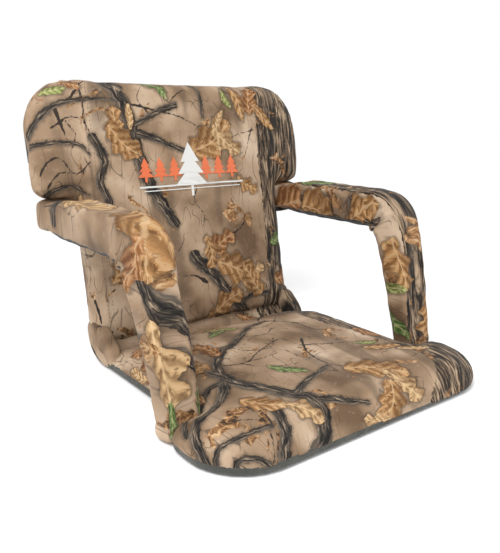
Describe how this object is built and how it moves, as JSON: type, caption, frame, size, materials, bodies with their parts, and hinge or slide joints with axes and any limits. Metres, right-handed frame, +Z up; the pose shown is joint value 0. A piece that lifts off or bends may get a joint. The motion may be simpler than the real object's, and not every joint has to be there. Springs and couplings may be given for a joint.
{
  "type": "padded folding hunting seat",
  "caption": "Padded folding hunting seat with woodland camouflage covers, folding back and two padded armrests on linked bars.",
  "frame": {"origin": "middle of the seat's underside, on the surface the seat rests on", "axes": "+Z up, the sitter faces -Y, +X is to the right of somebody who stands in front of the seat and looks at it"},
  "size_m": [0.536, 0.5484, 0.4477],
  "materials": {
    "camo_cloth": "printed woodland camouflage polyester, matt",
    "base_cloth": "plain dark grey-olive woven polyester, matt",
    "black_cloth": "plain black woven polyester, matt",
    "sling_webbing": "woven polypropylene strap",
    "foam": "open-cell foam",
    "badge_thread": "satin embroidery thread",
    "coated_tube": "black powder coat",
    "pressed_steel": "black powder coat",
    "friction_washer": "plain",
    "zinc_fastener": "zinc plated"
  },
  "bodies": {
    "seat": {"seat_frame": "coated_tube", "seat_webbing": "sling_webbing", "seat_foam": "foam", "seat_cover": "camo_cloth", "seat_base_panel": "base_cloth", "hinge_seat_plate_left": "pressed_steel", "hinge_seat_plate_right": "pressed_steel", "hinge_pins": "zinc_fastener", "hinge_washers": "friction_washer", "post_bracket_left": "pressed_steel", "post_bracket_right": "pressed_steel", "post_bolts": "zinc_fastener"},
    "back": {"back_frame": "coated_tube", "back_webbing": "sling_webbing", "back_foam": "foam", "back_cover": "camo_cloth", "back_panel": "base_cloth", "back_emblem": "badge_thread", "hinge_back_plate_left": "pressed_steel", "hinge_back_plate_right": "pressed_steel", "arm_bracket_left": "pressed_steel", "arm_bracket_right": "pressed_steel", "arm_bolts": "zinc_fastener"},
    "arm_left": {"arm_bar_left": "coated_tube", "arm_foam_left": "foam", "arm_cover_left": "camo_cloth", "arm_underside_left": "black_cloth"},
    "arm_right": {"arm_bar_right": "coated_tube", "arm_foam_right": "foam", "arm_cover_right": "camo_cloth", "arm_underside_right": "black_cloth"},
    "post_left": {"post_bar_left": "coated_tube", "post_foam_left": "foam", "post_cover_left": "camo_cloth", "post_rear_strip_left": "black_cloth", "elbow_pin_left": "zinc_fastener"},
    "post_right": {"post_bar_right": "coated_tube", "post_foam_right": "foam", "post_cover_right": "camo_cloth", "post_rear_strip_right": "black_cloth", "elbow_pin_right": "zinc_fastener"}
  },
  "joints": [
    {"name": "back_fold", "type": "hinge", "parent": "seat", "child": "back", "pos_m": [0, 0.215, 0.044], "axis": [1, 0, 0], "range_deg": [-25, 85]},
    {"name": "arm_pivot_left", "type": "hinge", "parent": "back", "child": "arm_left", "pos_m": [-0.236, 0.24973, 0.22266], "axis": [1, 0, 0], "range_deg": [-85, 25]},
    {"name": "post_pivot_left", "type": "hinge", "parent": "seat", "child": "post_left", "pos_m": [-0.23, -0.052, 0.044], "axis": [1, 0, 0], "range_deg": [-25, 85]},
    {"name": "arm_pivot_right", "type": "hinge", "parent": "back", "child": "arm_right", "pos_m": [0.236, 0.24973, 0.22266], "axis": [1, 0, 0], "range_deg": [-85, 25]},
    {"name": "post_pivot_right", "type": "hinge", "parent": "seat", "child": "post_right", "pos_m": [0.23, -0.052, 0.044], "axis": [1, 0, 0], "range_deg": [-25, 85]}
  ],
  "couplings": [
    {"joint": "arm_pivot_left", "follows": "back_fold", "ratio": -1},
    {"joint": "post_pivot_left", "follows": "back_fold", "ratio": 1},
    {"joint": "arm_pivot_right", "follows": "back_fold", "ratio": -1},
    {"joint": "post_pivot_right", "follows": "back_fold", "ratio": 1}
  ]
}
